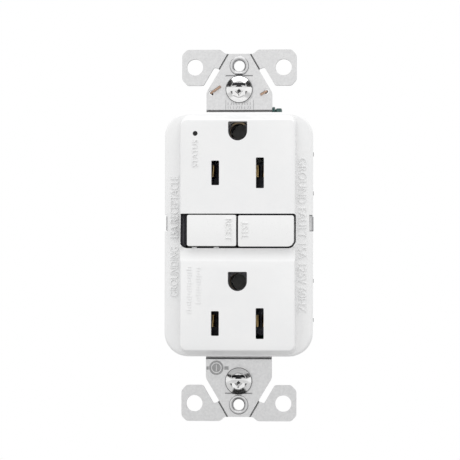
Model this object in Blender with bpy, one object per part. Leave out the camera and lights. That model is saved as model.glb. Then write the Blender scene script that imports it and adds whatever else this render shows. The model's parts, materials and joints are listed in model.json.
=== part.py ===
"""Ground-fault duplex receptacle, 15 A 125 V, on a steel mounting strap.

Frame: X to the right of the face, Z up along the strap, the face looks along -Y.
The origin is midway between the two box-mounting holes, on the rear face of the strap.
Lengths below are in millimetres; every solid is scaled to metres when it is made.
"""
import math

import bmesh
import bpy
from mathutils import Matrix, Vector

MM = 0.001
GAP = 0.3

# Standard spacings of the device family
BOX_SCREW_Z = 83.34 / 2
PLATE_SCREW_Z = 96.84 / 2
BLADE_X = 12.7 / 2
GROUND_TO_BLADES = 11.9
UPPER_BLADES_Z = 17.5
LOWER_BLADES_Z = -25.2
OUTLETS = {"upper": UPPER_BLADES_Z, "lower": LOWER_BLADES_Z}

# Strap
STRAP_T = 1.2
STRAP_HALF_X = 9.4
EAR_HALF_X = 16.4
EAR_TOP_Z = 53.1
EAR_HOLE = (12.7, 48.05, 2.33)

# Levels along Y, front to back
BUTTON_Y = -8.8
PAD_Y = -8.0
FLANGE_Y = -4.0
RIM_Y = 1.0
CASE_Y = RIM_Y + GAP
CASE_BACK_Y = 26.5
TRAY_Y = (10.2, 11.4)
BOARD_Y = (22.6, 24.2)

# Face cover
FLANGE = (21.1, 34.8, 6.75)
FLANGE_WALL = 1.5
PAD = (16.3, 32.8, 1.8)
BUTTON_WELL_Z = (-3.85, 5.95)
BUTTON_WELL_X = 16.4
WELL_RADII = (0.5, 0.5, 2.0, 2.0)
NOTCH_Z = (1.0, 5.7)
NOTCH_X = 20.15
ARM_SLOT_X = 19.2

# Buttons and their stems
RESET_X = (-14.28, -0.34)
RESET_Z = (-3.26, 5.54)
RESET_RADII = (0.5, 0.5, 0.5, 0.5)
TEST_X = (0.24, 15.95)
TEST_Z = (-3.38, 5.42)
TEST_RADII = (0.5, 0.5, 0.5, 1.7)
STEM_Z = -0.9
RESET_STEM_X = -7.3
TEST_STEM_X = 8.0

# Side terminals, one pair at each end
TERMINAL_Z = 19.0
TERMINAL_Y = 12.25
RECESS_Z = (12.5, 25.5)
RECESS_Y = (7.0, 17.5)
RECESS_FLOOR_X = 14.2
BLOCK_X = 13.0

# Screws that close the case: two beside the terminals, two in the lower corners
CASE_SCREWS = {"upper_left": (-16.4, 9.0), "upper_right": (16.4, 9.0),
               "lower_left": (-16.6, -29.3), "lower_right": (16.6, -29.3)}
GROUND_SCREW = (6.0, 32.65)
GROUND_TAB_X = (7.65, 8.85)

# Mechanism
LATCH_X = -7.0
SOLENOID_Y = 17.2
ARM_X = 4.0
ARM_HINGE = (14.85, -10.0)
CORE_Z = -19.5
LED_XZ = (-12.07, 28.7)

COLOURS = {
    "white_plastic": ((0.86, 0.86, 0.85), 0.32, 0.0),
    "button_plastic": ((0.87, 0.87, 0.86), 0.3, 0.0),
    "black_plastic": ((0.03, 0.03, 0.034), 0.5, 0.0),
    "grey_plastic": ((0.12, 0.12, 0.13), 0.5, 0.0),
    "natural_plastic": ((0.55, 0.52, 0.46), 0.5, 0.0),
    "zinc_steel": ((0.62, 0.63, 0.64), 0.42, 1.0),
    "nickel_steel": ((0.72, 0.72, 0.72), 0.25, 1.0),
    "brass": ((0.72, 0.55, 0.27), 0.3, 1.0),
    "copper": ((0.75, 0.42, 0.27), 0.32, 1.0),
    "bronze_wire": ((0.62, 0.47, 0.38), 0.35, 1.0),
    "green_screw": ((0.03, 0.2, 0.17), 0.35, 0.6),
    "fibre": ((0.5, 0.36, 0.22), 0.8, 0.0),
    "board_green": ((0.03, 0.2, 0.08), 0.45, 0.0),
    "enamel_wire": ((0.6, 0.22, 0.08), 0.35, 0.8),
    "ferrite": ((0.08, 0.08, 0.085), 0.6, 0.2),
    "blue_varistor": ((0.06, 0.14, 0.45), 0.45, 0.0),
    "yellow_film": ((0.7, 0.5, 0.08), 0.45, 0.0),
    "led_lens": ((0.25, 0.7, 0.3), 0.2, 0.0),
    "clear_plastic": ((0.8, 0.85, 0.86), 0.1, 0.0),
}


# ---------------------------------------------------------------- tools

def clear_scene():
    for obj in list(bpy.data.objects):
        bpy.data.objects.remove(obj, do_unlink=True)


def material(name):
    """The named Principled material, made on first use."""
    found = bpy.data.materials.get(name)
    if found:
        return found
    colour, roughness, metallic = COLOURS[name]
    made = bpy.data.materials.new(name)
    made.use_nodes = True
    shader = made.node_tree.nodes["Principled BSDF"]
    shader.inputs["Base Color"].default_value = (*colour, 1.0)
    shader.inputs["Roughness"].default_value = roughness
    shader.inputs["Metallic"].default_value = metallic
    made.diffuse_color = (*colour, 1.0)
    return made


def at(axis, level, a, b):
    """A point from its level along an axis and its two other coordinates."""
    return {"X": (level, a, b), "Y": (a, level, b), "Z": (a, b, level)}[axis]


def to_object(mesh_data):
    """A new object in metres from a bmesh in millimetres."""
    bmesh.ops.recalc_face_normals(mesh_data, faces=mesh_data.faces)
    mesh = bpy.data.meshes.new("solid")
    mesh_data.to_mesh(mesh)
    mesh_data.free()
    mesh.transform(Matrix.Scale(MM, 4))
    obj = bpy.data.objects.new("solid", mesh)
    bpy.context.scene.collection.objects.link(obj)
    return obj


def skin(rings, closed=False):
    """Bridge rings of points one to the next; close the ends, or the loop."""
    mesh_data = bmesh.new()
    rows = [[mesh_data.verts.new(point) for point in ring] for ring in rings]
    pairs = list(zip(rows, rows[1:] + rows[:1] if closed else rows[1:]))
    for lower, upper in pairs:
        for i, corner in enumerate(lower):
            j = (i + 1) % len(lower)
            mesh_data.faces.new((corner, lower[j], upper[j], upper[i]))
    if not closed:
        mesh_data.faces.new(rows[0])
        mesh_data.faces.new(rows[-1])
    return to_object(mesh_data)


def loft(sections, axis="Y"):
    """Solid through outlines of equal point count, each given with its level."""
    return skin([[at(axis, level, a, b) for a, b in outline] for outline, level in sections])


def prism(outline, low, high, axis="Y"):
    return loft([(outline, low), (outline, high)], axis)


def rectangle(a0, a1, b0, b1):
    return [(a0, b0), (a1, b0), (a1, b1), (a0, b1)]


def block(x, y, z):
    """Box from three (low, high) ranges."""
    return prism(rectangle(*sorted(x), *sorted(z)), *sorted(y))


def arc(centre, radius, start, end, steps):
    """Points along an arc, angles in degrees."""
    angles = [math.radians(start + (end - start) * i / steps) for i in range(steps + 1)]
    return [(centre[0] + radius * math.cos(t), centre[1] + radius * math.sin(t)) for t in angles]


def circle(radius, centre=(0, 0), segments=24):
    return arc(centre, radius, 0, 360, segments)[:-1]


def panel(a, b, radii, steps=3):
    """Rectangle over two (low, high) ranges; its corners' radii run anticlockwise from high, high."""
    signs = ((1, 1), (-1, 1), (-1, -1), (1, -1))
    points = []
    for turn, ((sign_a, sign_b), radius) in enumerate(zip(signs, radii)):
        centre = (a[sign_a > 0] - sign_a * radius, b[sign_b > 0] - sign_b * radius)
        points += arc(centre, radius, 90 * turn, 90 * turn + 90, steps)
    return points


def rounded(half_a, half_b, radius, steps=4):
    """Rectangle about the origin with round corners."""
    return panel((-half_a, half_a), (-half_b, half_b), [radius] * 4, steps)


def obround(centre, half_length, radius, steps=8):
    """Slot outline, long along its first coordinate."""
    a, b = centre
    return (arc((a + half_length, b), radius, -90, 90, steps)
            + arc((a - half_length, b), radius, 90, 270, steps))


def turned(profile, centre, axis="Y", segments=24):
    """Solid of revolution through (radius, level) steps about an axis."""
    return loft([(circle(radius, centre, segments), level) for radius, level in profile], axis)


def rod(radius, low, high, centre, axis="Y", segments=24):
    return turned([(radius, low), (radius, high)], centre, axis, segments)


def strip(points, thickness):
    """Outline of a bent strip: its centre line offset to both sides."""
    normals = []
    for i in range(len(points)):
        before, after = Vector(points[max(i - 1, 0)]), Vector(points[min(i + 1, len(points) - 1)])
        along = (after - before).normalized()
        normals.append(Vector((-along.y, along.x)) * thickness / 2)
    left = [tuple(Vector(p) + n) for p, n in zip(points, normals)]
    right = [tuple(Vector(p) - n) for p, n in zip(points, normals)]
    return left + right[::-1]


def coil(radius, wire, low, high, turns, centre, axis="Y", steps=10):
    """Helical spring wire."""
    rings = []
    for i in range(int(turns * steps) + 1):
        angle = math.tau * i / steps
        level = low + wire + (high - low - 2 * wire) * i / int(turns * steps)
        ring = []
        for out, along in circle(wire, segments=5):
            reach = radius + out
            ring.append(at(axis, level + along, centre[0] + reach * math.cos(angle),
                           centre[1] + reach * math.sin(angle)))
        rings.append(ring)
    return skin(rings)


def combine(target, tools, operation):
    """Apply a Boolean of the target with each tool, and drop the tools."""
    for tool in tools:
        step = target.modifiers.new("Boolean", "BOOLEAN")
        step.operation = operation
        step.solver = "EXACT"
        step.object = tool
    graph = bpy.context.evaluated_depsgraph_get()
    mesh = bpy.data.meshes.new_from_object(target.evaluated_get(graph))
    target.modifiers.clear()
    target.data = mesh
    for tool in tools:
        bpy.data.objects.remove(tool, do_unlink=True)
    return target


def cut(target, *tools):
    return combine(target, tools, "DIFFERENCE")


def join(target, *tools):
    return combine(target, tools, "UNION")


def finish(name, obj, look, origin=(0, 0, 0)):
    """Name a solid, give it its material, and put its origin on its joint axis."""
    place = Vector(origin) * MM
    obj.name = obj.data.name = name
    obj.data.transform(Matrix.Translation(-place))
    obj.location = place
    obj.data.materials.clear()
    obj.data.materials.append(material(look))
    obj.data.shade_smooth()
    obj.data.set_sharp_from_angle(angle=math.radians(30))
    return obj


def both_ends(make):
    return [make(1), make(-1)]


# ---------------------------------------------------------------- strap

def strap_half_outline():
    """Right edge of the strap from its top notch down to its bottom notch."""
    ear = [(4.0, 51.9), (5.4, EAR_TOP_Z), (14.95, EAR_TOP_Z), (EAR_HALF_X, 51.6),
           (EAR_HALF_X, 44.4), (14.95, 42.8), (10.26, 42.8), (7.46, 47.7), (6.5, 48.2),
           (5.6, 47.8), (5.4, 46.9), (9.2, 41.2), (STRAP_HALF_X, 40.7)]
    spine = [(STRAP_HALF_X, 24.0), (3.0, 24.0), (3.0, 5.4), (20.3, 5.4), (20.3, 1.3),
             (3.0, 1.3), (3.0, -8.0), (5.0, -8.6), (5.0, -18.0), (3.0, -18.6), (3.0, -31.0),
             (STRAP_HALF_X, -31.0)]
    return ear + spine + [(x, -z) for x, z in reversed(ear)]


def strap_holes(end):
    """Cutters for one end: ears, wall-plate screw, box-screw slot, self-grounding wire."""
    x, z, radius = EAR_HOLE
    deep = (-2.5, 1.0)
    tools = [rod(radius, *deep, (sx * x, end * z), segments=18) for sx in (-1, 1)]
    tools.append(rod(1.55, *deep, (0, end * PLATE_SCREW_Z), segments=16))
    tools.append(prism(obround((0, end * BOX_SCREW_Z), 1.5, 2.05), *deep))
    return tools


def mounting_strap():
    right = strap_half_outline()
    plate = prism(right + [(-x, z) for x, z in reversed(right)], -STRAP_T, 0)
    collars = both_ends(lambda end: turned(
        [(2.75, -1.0), (2.75, -1.5), (2.4, -1.7)], (0, end * PLATE_SCREW_Z), segments=16))
    tab = block(GROUND_TAB_X, (-0.9, 9.6), (29.0, 35.2))
    legs = [prism([(sx * 19.75, 8.0), (sx * 20.95, 8.0), (sx * 20.95, -0.8), (sx * 20.55, -STRAP_T),
                   (sx * 19.75, -STRAP_T)], 1.3, 5.4, "Z") for sx in (-1, 1)]
    plate = join(plate, *collars, tab, *legs)
    ground_holes = [rod(3.3, -2, 1, (0, z), segments=16)
                    for z in (UPPER_BLADES_Z + GROUND_TO_BLADES, LOWER_BLADES_Z + GROUND_TO_BLADES)]
    wire_holes = [rod(0.8, -2, 1, centre, segments=12) for centre in ((-8.0, 40.7), (7.8, 41.1))]
    screw_hole = rod(2.1, 7, 11, GROUND_SCREW, axis="X", segments=16)
    plate = cut(plate, *strap_holes(1), *strap_holes(-1), *ground_holes, *wire_holes, screw_hole)
    return finish("mounting_strap", plate, "zinc_steel")


def ground_contact(which):
    """Slotted tube riveted behind the strap, gripping the round grounding pin."""
    centre = (0, OUTLETS[which] + GROUND_TO_BLADES)
    tube = join(rod(2.9, -2.1, 7.5, centre, segments=20), rod(4.4, 0.3, 1.1, centre, segments=20))
    slots = [block((-0.4, 0.4), (2.2, 8.0), (centre[1] - 3.5, centre[1] + 3.5)),
             block((-3.5, 3.5), (2.2, 8.0), (centre[1] - 0.4, centre[1] + 0.4))]
    tube = cut(tube, rod(2.45, -4, 9, centre, segments=20), *slots)
    return finish(f"ground_contact_{which}", tube, "brass")


def auto_ground_clip():
    """Spring wire laced through the strap so that it presses on the upper mounting screw."""
    wire = 0.42
    route = [(-5.3, -1.75, 42.6), (-7.0, -1.75, 41.4), (-8.0, -1.5, 40.7), (-8.0, 0.5, 40.7),
             (-7.0, 0.8, 40.1), (-3.0, 0.8, 38.9), (3.0, 0.8, 38.9), (6.8, 0.8, 40.5),
             (7.8, 0.5, 41.1), (7.8, -1.5, 41.1), (7.2, -1.75, 40.8), (5.8, -1.75, 39.9)]
    rings = []
    for i, point in enumerate(route):
        before, after = Vector(route[max(i - 1, 0)]), Vector(route[min(i + 1, len(route) - 1)])
        turn = (after - before).to_track_quat("Z", "Y").to_matrix()
        rings.append([Vector(point) + turn @ Vector((a, b, 0)) for a, b in circle(wire, segments=8)])
    return finish("auto_ground_clip", skin(rings), "bronze_wire")


def drive_recess(level, centre, axis, depth, width=1.1, reach=3.0):
    """Cutter for a combination drive: a long slot crossed by a short one."""
    a, b = centre
    step = 1 if depth > 0 else -1
    span = (level - 0.5 * step, level + depth)
    long_slot = prism(rectangle(a - reach, a + reach, b - width / 2, b + width / 2), *span, axis)
    short = prism(rectangle(a - width / 2, a + width / 2, b - 1.7, b + 1.7), *span, axis)
    return [long_slot, short]


def mounting_screw(end):
    """6-32 box screw with a washer-face head and a combination drive."""
    name = "mounting_screw_top" if end > 0 else "mounting_screw_bottom"
    centre = (0, end * BOX_SCREW_Z)
    body = turned([(1.5, 22.5), (1.72, 21.9), (1.72, -1.5), (3.85, -1.5), (3.85, -1.9),
                   (3.3, -2.6), (2.3, -3.2), (2.2, -3.3)], centre, segments=20)
    body = cut(body, *drive_recess(-3.3, centre, "Y", 1.0, reach=4.2))
    return finish(name, body, "nickel_steel", (0, 0, centre[1]))


def screw_retainer(end):
    """Fibre washer that keeps a box screw in its slot until it is installed."""
    name = "screw_retainer_top" if end > 0 else "screw_retainer_bottom"
    z = end * BOX_SCREW_Z
    low = 1.55 if end > 0 else GAP
    plate = block((-5, 5), (low, low + 0.8), (z - 4.6, z + 4.6))
    return finish(name, cut(plate, rod(2.02, 0, 3, (0, z), segments=16)), "fibre")


# ---------------------------------------------------------------- face

def blade_slots(low, high, grow=0.0):
    """Cutters for the two blade slots of each outlet."""
    return [block((x - half_x - grow, x + half_x + grow), (low, high),
                  (z - half_z - grow, z + half_z + grow))
            for z in OUTLETS.values()
            for x, half_x, half_z in ((-BLADE_X, 1.12, 3.5), (BLADE_X, 1.15, 4.36))]


def grounding_holes(low, high):
    """Cutters for the D-shaped grounding hole of each outlet."""
    radius = 2.72
    tools = []
    for z in OUTLETS.values():
        centre = (0, z + GROUND_TO_BLADES)
        hole = arc(centre, radius, 180, 360, 10) + [(radius, centre[1] + radius),
                                                    (-radius, centre[1] + radius)]
        tools.append(prism(hole, low, high))
    return tools


def inset(outline, amount):
    """Half sizes and radius of a rounded rectangle, all reduced by one amount."""
    half_a, half_b, radius = outline
    return half_a - amount, half_b - amount, max(radius - amount, 0.4)


def face_cover():
    flange = loft([(rounded(*inset(FLANGE, 0.35)), FLANGE_Y), (rounded(*FLANGE), FLANGE_Y + 0.35),
                   (rounded(*FLANGE), RIM_Y)])
    pad = loft([(rounded(*PAD), PAD_Y), (rounded(16.5, 34.0, 2.2), FLANGE_Y + 0.2)])
    cover = join(flange, pad)
    flange_room = prism(rounded(*inset(FLANGE, FLANGE_WALL)), FLANGE_Y + FLANGE_WALL, RIM_Y + 1)
    pad_room = prism(rounded(14.9, 31.5, 1.0), PAD_Y + 1.8, FLANGE_Y + 1.6)
    cover = cut(cover, flange_room, pad_room)
    posts = [rod(2.2, FLANGE_Y + 1.4, RIM_Y, centre, segments=16) for centre in CASE_SCREWS.values()]
    cover = join(cover, *posts)
    bores = [rod(1.6, FLANGE_Y + 1.9, RIM_Y + 1, centre, segments=12)
             for centre in CASE_SCREWS.values()]
    well = prism(panel((-BUTTON_WELL_X, BUTTON_WELL_X), BUTTON_WELL_Z, WELL_RADII),
                 PAD_Y - 1, FLANGE_Y + 1.6)
    scoop = [(0.65, -3.4), (0.6, -5.2), (0.45, -6.4), (0.2, -7.3), (-0.01, -7.8)]
    dip = prism([(PAD_Y - 0.5, -3.4)] + [(PAD_Y + depth, z) for depth, z in scoop]
                + [(PAD_Y - 0.5, -7.8)], -18, 18, "X")
    notches = [block((sx * low, sx * 22), levels, NOTCH_Z) for sx in (-1, 1)
               for low, levels in ((NOTCH_X, (FLANGE_Y - 1, RIM_Y + 1)),
                                   (ARM_SLOT_X, (-STRAP_T - 0.3, RIM_Y + 1.5)))]
    exits = [block((-9.75, 9.75), (-STRAP_T - 0.35, RIM_Y + 1), (end * 32.5, end * 36))
             for end in (-1, 1)]
    lamp = rod(0.7, PAD_Y - 1, PAD_Y + 3, LED_XZ, segments=12)
    sockets = blade_slots(PAD_Y - 1, PAD_Y + 3) + grounding_holes(PAD_Y - 1, PAD_Y + 3)
    cover = cut(cover, *bores, well, dip, *notches, *exits, lamp, *sockets)
    return finish("face_cover", cover, "white_plastic")


def front_insulator():
    """Dark plate behind the face, with the well that the buttons slide in."""
    plate = prism(rounded(14.6, 31.2, 0.8), -5.9, -4.4)
    rails = block((-14.6, 14.6), (-5.9, -1.7), (-4.65, 6.75))
    plate = join(plate, rails)
    well = block((-16, 16), (-9, -2.3), (-4.1, 6.2))
    lamp = rod(1.1, -7, -3, LED_XZ, segments=12)
    pins = [rod(2.42, -7, -3, (0, z + GROUND_TO_BLADES), segments=20) for z in OUTLETS.values()]
    plate = cut(plate, well, lamp, *pins, *blade_slots(-7, -3, grow=0.15))
    floor = block((-17.4, 17.4), (-2.2, -1.5), (-5.6, 6.5))
    wall = prism([(-14.7, 5.65), (-16.1, 5.65)] + arc((-14.4, -1.85), 1.7, 180, 260, 4), -7.2, -1.6)
    plate = join(plate, floor, wall)
    stems = [rod(1.3, -5, 0, (RESET_STEM_X, STEM_Z), segments=16),
             rod(1.75, -5, 0, (TEST_STEM_X, STEM_Z), segments=16)]
    return finish("front_insulator", cut(plate, *stems), "black_plastic")


def button_cap(x, z, radii):
    """Hollow key, open to the rear, with slightly softened front edges."""
    def outline(shrink):
        shrunk = [max(radius - shrink, 0.2) for radius in radii]
        return panel((x[0] + shrink, x[1] - shrink), (z[0] + shrink, z[1] - shrink), shrunk)

    shell = loft([(outline(0.3), BUTTON_Y), (outline(0), BUTTON_Y + 0.3), (outline(0), FLANGE_Y)])
    return cut(shell, prism(outline(0.5), BUTTON_Y + 1.3, FLANGE_Y + 1))


def reset_button():
    centre = (RESET_STEM_X, STEM_Z)
    cap = join(button_cap(RESET_X, RESET_Z, RESET_RADII), rod(1.75, BUTTON_Y + 1.1, -6.75, centre, segments=16))
    cap = cut(cap, rod(1.15, BUTTON_Y + 1.25, -6, centre, segments=16))
    return finish("reset_button", cap, "button_plastic", (centre[0], 0, centre[1]))


def reset_pin():
    """Steel pin that latches under the sliding plate; a groove gives it its shoulder."""
    profile = [(0.85, -7.4), (0.9, -7.3), (0.9, 16.2), (0.55, 16.4), (0.55, 18.2), (0.9, 18.4),
               (0.9, 20.0), (0.45, 20.8)]
    pin = turned(profile, (RESET_STEM_X, STEM_Z), segments=16)
    return finish("reset_pin", pin, "nickel_steel", (RESET_STEM_X, 0, STEM_Z))


def reset_spring():
    spring = coil(1.52, 0.2, -6.7, -2.25, 5, (RESET_STEM_X, STEM_Z))
    return finish("reset_spring", spring, "nickel_steel", (RESET_STEM_X, 0, STEM_Z))


def test_button():
    stem = turned([(1.3, BUTTON_Y + 1.1), (1.3, 11.8), (0.7, 12.5)], (TEST_STEM_X, STEM_Z),
                  segments=16)
    return finish("test_button", join(button_cap(TEST_X, TEST_Z, TEST_RADII), stem), "button_plastic",
                  (TEST_STEM_X, 0, STEM_Z))


# ---------------------------------------------------------------- contacts

def contact_fork(z, side):
    """Two facing leaves in the X-Y plane, closest together just behind the face."""
    def leaf(hand):
        x = side * BLADE_X
        line = [(x + hand * 1.6, 9.3), (x + hand * 1.6, 3.0), (x + hand * 0.55, -1.6),
                (x + hand * 0.95, -3.2)]
        flat = strip(line, 0.5)
        return skin([[(a, b, level) for a, b in flat] for level in (z - 1.0, z + 2.4)])

    return [leaf(-1), leaf(1)]


def face_contact(name, side):
    """Bus strip under both outlets, with a fork at each and a fixed contact stud."""
    def run(low, high, z_low, z_high, y=(8.7, 9.5)):
        return block((side * low, side * high), y, (z_low, z_high))

    upper = run(4.2, 8.5, UPPER_BLADES_Z - 4, UPPER_BLADES_Z + 3.5)
    link = run(3.7, 5.6, LOWER_BLADES_Z, UPPER_BLADES_Z, y=(8.6, 9.6))
    lower = run(4.2, 8.5, LOWER_BLADES_Z - 3.5, LOWER_BLADES_Z + 4)
    stud = rod(1.2, 9.0, 12.0, (side * ARM_X, 7.3), segments=12)
    forks = contact_fork(UPPER_BLADES_Z, side) + contact_fork(LOWER_BLADES_Z, side)
    return finish(name, join(link, upper, lower, stud, *forks), "brass")


def middle_tray():
    """Moulded tray between the face contacts and the trip mechanism."""
    wide = block((-13.1, 13.1), TRAY_Y, (-10.9, 10.9))
    long_part = block((-11.8, 11.8), (TRAY_Y[0] + 0.001, TRAY_Y[1] - 0.001), (-26.5, 25.2))
    tongue = block((-6.5, 3.0), (TRAY_Y[0] + 0.002, TRAY_Y[1] - 0.002), (24.8, 32.6))
    ribs = [block((-0.6, 0.6), (2.2, 11.0), span) for span in ((9.0, 24.0), (-30.0, -19.0))]
    tray = join(wide, long_part, tongue, *ribs)
    holes = [rod(1.5, 9, 13, (RESET_STEM_X, STEM_Z), segments=16),
             rod(1.8, 9, 13, (TEST_STEM_X, STEM_Z), segments=16)]
    holes += [rod(1.6, 9, 13, (side * ARM_X, 7.3), segments=16) for side in (-1, 1)]
    return finish("middle_tray", cut(tray, *holes), "natural_plastic")


def contact_arm(name, side):
    """Copper leaf that hinges at its foot and carries the moving contact at its tip."""
    hinge_y, hinge_z = ARM_HINGE
    x = side * ARM_X
    leaf = block((x - 1.2, x + 1.2), (hinge_y - 0.25, hinge_y + 0.25), (hinge_z, 8.5))
    foot = rod(0.55, x - 1.2, x + 1.2, (hinge_y, hinge_z), "X", 12)
    button = rod(1.1, 13.7, hinge_y, (x, 7.3), segments=12)
    return finish(name, join(leaf, foot, button), "copper", (x, hinge_y, hinge_z))


def line_bar(name, side):
    """Heavy conductor from the board, through both cores, to the foot of a contact arm."""
    x = side * 1.25
    riser = block((x - 0.75, x + 0.75), (13.5, 22.3), (CORE_Z - 1.0, CORE_Z + 1.0))
    reach = block((side * 0.5, side * (ARM_X + 1.2)), (13.0, 13.8), (CORE_Z - 1.0, CORE_Z + 1.0))
    run = block((side * (ARM_X - 1.2), side * (ARM_X + 1.2)), (13.0, 13.8), (CORE_Z - 1.0, -9.2))
    return finish(name, join(reach, riser, run), "copper")


def contact_carriage():
    """Plastic yoke lifted by the reset pin; its rib pushes both contact arms home."""
    yoke = block((-10.4, 6.2), (15.9, 19.0), (-6.0, 1.2))
    rib = block((-5.6, 5.6), (15.25, 16.2), (-0.3, 1.2))
    yoke = join(yoke, rib)
    slot = block((-10.0, -4.0), (16.55, 17.85), (-5.5, 3.0))
    bore = rod(1.3, 14, 20, (RESET_STEM_X, STEM_Z), segments=16)
    return finish("contact_carriage", cut(yoke, slot, bore), "black_plastic")


def latch_plate():
    """Sliding steel plate with a slot for the reset pin and a fork for the plunger."""
    plate = block((-9.7, -4.3), (16.9, 17.5), (-5.1, 8.6))
    pin_slot = block((RESET_STEM_X - 1.2, RESET_STEM_X + 1.2), (15, 19), (-3.6, 0.4))
    window = block((LATCH_X - 2.45, LATCH_X + 2.45), (15, 19), (5.2, 6.6))
    throat = block((LATCH_X - 1.35, LATCH_X + 1.35), (15, 19), (6.0, 10.0))
    return finish("latch_plate", cut(plate, pin_slot, window, throat), "nickel_steel")


# ---------------------------------------------------------------- solenoid

def plunger():
    profile = [(2.1, 5.6), (2.1, 6.2), (0.95, 6.3), (0.95, 9.6), (1.55, 9.9), (1.55, 20.0)]
    body = turned(profile, (LATCH_X, SOLENOID_Y), "Z", 20)
    return finish("plunger", body, "zinc_steel", (LATCH_X, SOLENOID_Y, 0))


def plunger_spring():
    spring = coil(1.25, 0.2, 20.3, 25.2, 5, (LATCH_X, SOLENOID_Y), "Z")
    return finish("plunger_spring", spring, "nickel_steel", (LATCH_X, SOLENOID_Y, 0))


def coil_bobbin():
    profile = [(4.4, 12.4), (4.4, 13.1), (2.35, 13.1), (2.35, 24.1), (4.4, 24.1), (4.4, 24.8)]
    spool = turned(profile, (LATCH_X, SOLENOID_Y), "Z", 20)
    bore = rod(1.9, 11, 27, (LATCH_X, SOLENOID_Y), "Z", 20)
    return finish("coil_bobbin", cut(spool, bore), "natural_plastic")


def coil_winding():
    layers = rod(4.1, 13.4, 23.8, (LATCH_X, SOLENOID_Y), "Z", 24)
    bore = rod(2.65, 12, 25, (LATCH_X, SOLENOID_Y), "Z", 24)
    return finish("coil_winding", cut(layers, bore), "enamel_wire")


def solenoid_frame():
    """U-shaped steel yoke around the coil, open towards the face."""
    outer = block((-11.5, -2.5), (12.4, 22.3), (11.2, 26.2))
    inner = block((-12.5, -1.5), (11.0, 21.7), (12.1, 25.5))
    hole = rod(1.9, 10, 13, (LATCH_X, SOLENOID_Y), "Z", 20)
    return finish("solenoid_frame", cut(outer, inner, hole), "zinc_steel")


# ---------------------------------------------------------------- sensing cores

def core_ring(name, low, high, look):
    """Toroidal current transformer around both line conductors."""
    centre = (0, CORE_Z)
    chamfer = 0.7
    outside = turned([(7.6 - chamfer, low), (7.6, low + chamfer), (7.6, high - chamfer),
                      (7.6 - chamfer, high)], centre, segments=28)
    return finish(name, cut(outside, rod(4.0, low - 1, high + 1, centre, segments=28)), look)


def transformer_cup():
    """Moulded cup that holds the two cores, with a sleeve for the conductors."""
    centre = (0, CORE_Z)
    cup = cut(rod(8.7, 14.2, 21.9, centre, segments=28), rod(7.9, 15.0, 23, centre, segments=28))
    cup = join(cup, rod(3.6, 14.3, 21.9, centre, segments=20))
    return finish("transformer_cup", cut(cup, rod(3.0, 13, 23, centre, segments=20)),
                  "black_plastic")


# ---------------------------------------------------------------- board and its parts

def board_outline():
    right = [(12.0, -26.3), (12.0, 26.3), (13.1, 27.4), (13.1, 31.0)]
    lower = [(13.1, -31.0), (13.1, -27.4)]
    return lower + right + [(-x, z) for x, z in reversed(lower + right)]


def circuit_board():
    return finish("circuit_board", prism(board_outline(), *BOARD_Y), "board_green")


def surge_varistor():
    disc = turned([(3.4, 5.0), (4.0, 5.5), (4.0, 8.3), (3.4, 8.8)], (8.7, 17.9), "Z", 20)
    return finish("surge_varistor", disc, "blue_varistor")


def film_capacitor():
    return finish("film_capacitor", block((2.6, 11.4), (14.4, 22.3), (11.6, 22.4)), "yellow_film")


def control_chip():
    body = block((6.8, 10.6), (20.7, 22.0), (-8.2, -3.2))
    legs = [block((6.2, 11.2), (21.6, 22.3), (-8.0 + 1.27 * i, -7.55 + 1.27 * i)) for i in range(4)]
    return finish("control_chip", join(body, *legs), "black_plastic")


def test_resistor():
    body = rod(1.1, -8.4, -3.4, (-8.2, 20.9), "Z", 14)
    leads = rod(0.3, -10.2, -1.6, (-8.2, 20.9), "Z", 8)
    return finish("test_resistor", join(body, leads), "natural_plastic")


def test_blade():
    """Spring leaf under the TEST stem; it bends about its foot to close the test circuit."""
    leaf = block((TEST_STEM_X - 1.1, TEST_STEM_X + 1.1), (12.8, 13.2), (-10.0, 2.6))
    foot = block((TEST_STEM_X - 1.1, TEST_STEM_X + 1.1), (12.8, 14.0), (-10.4, -9.6))
    return finish("test_blade", join(leaf, foot), "copper", (TEST_STEM_X, 13.0, -10.0))


def status_led():
    lens = turned([(1.5, 22.3), (1.5, 20.8), (1.1, 20.3)], LED_XZ, segments=16)
    return finish("status_led", lens, "led_lens")


def light_pipe():
    rod_body = rod(0.5, PAD_Y + 0.3, 19.9, LED_XZ, segments=12)
    collar = rod(0.9, -4.0, -3.2, LED_XZ, segments=12)
    return finish("light_pipe", join(rod_body, collar), "clear_plastic")


# ---------------------------------------------------------------- terminals

def terminal_plate(name, side, end, look):
    """Plate in the side recess, with a web through the wall and a leg to the board."""
    z = end * TERMINAL_Z
    plate = block((side * 14.5, side * 15.3), (8.2, 16.3), (z - 5.4, z + 5.4))
    web = block((side * 12.3, side * 14.9), (8.9, 9.6), (z - 1.6, z + 1.6))
    leg = block((side * 12.3, side * 12.7), (8.95, 22.2), (z - 1.55, z + 1.55))
    plate = join(plate, web, leg)
    hole = rod(2.3, side * 14 if side > 0 else -17, side * 17 if side > 0 else -14,
               (TERMINAL_Y, z), "X", 16)
    return finish(name, cut(plate, hole), look)


def clamp_plate(name, side, end, look):
    """Pressure plate that the terminal screw draws down on the stripped wires."""
    z = end * TERMINAL_Z
    plate = block((side * 16.5, side * 17.6), (8.2, 16.3), (z - 5.4, z + 5.4))
    grooves = [rod(0.5, 7.5, 17, (side * 16.3, z + dz), segments=8) for dz in (-3.7, 3.7)]
    low, high = sorted((side * 16, side * 18))
    hole = rod(2.3, low, high, (TERMINAL_Y, z), "X", 16)
    return finish(name, cut(plate, hole, *grooves), look, (side * 17.0, TERMINAL_Y, z))


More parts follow.
